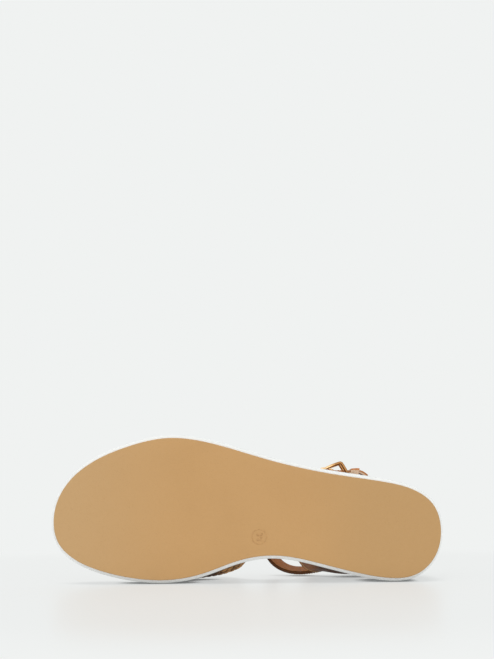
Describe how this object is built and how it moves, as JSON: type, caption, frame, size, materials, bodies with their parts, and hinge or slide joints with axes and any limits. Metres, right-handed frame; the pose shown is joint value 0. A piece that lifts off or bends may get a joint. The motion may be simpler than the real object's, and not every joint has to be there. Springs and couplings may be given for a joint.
{
  "type": "platform sandal",
  "caption": "Platform sandal for the left foot with a tan sole plate, white foam platform, woven forefoot strap, closed heel and buckled instep strap, lying on its inner side.",
  "frame": {"origin": "middle of the box in plan, on the floor that the sandal lies on", "axes": "toe towards -X, heel towards +X, tread facing -Y, foot side towards +Y, outer side of the foot up at +Z"},
  "size_m": [0.2548, 0.1006, 0.0958],
  "materials": {
    "tan_rubber": "matt, very fine texture",
    "white_foam": "satin white moulded foam",
    "footbed_leather": "soft matt",
    "brown_leather": "smooth semi-matt brown",
    "gold_metal": "polished copper gold"
  },
  "bodies": {
    "root": {"outsole": "tan_rubber", "midsole": "white_foam", "insole": "footbed_leather", "upper_front_strap": "brown_leather", "upper_quarter": "brown_leather", "buckle_frame": "gold_metal", "buckle_prong": "gold_metal", "buckle_tab": "brown_leather", "strap_keeper": "brown_leather"}
  },
  "joints": []
}
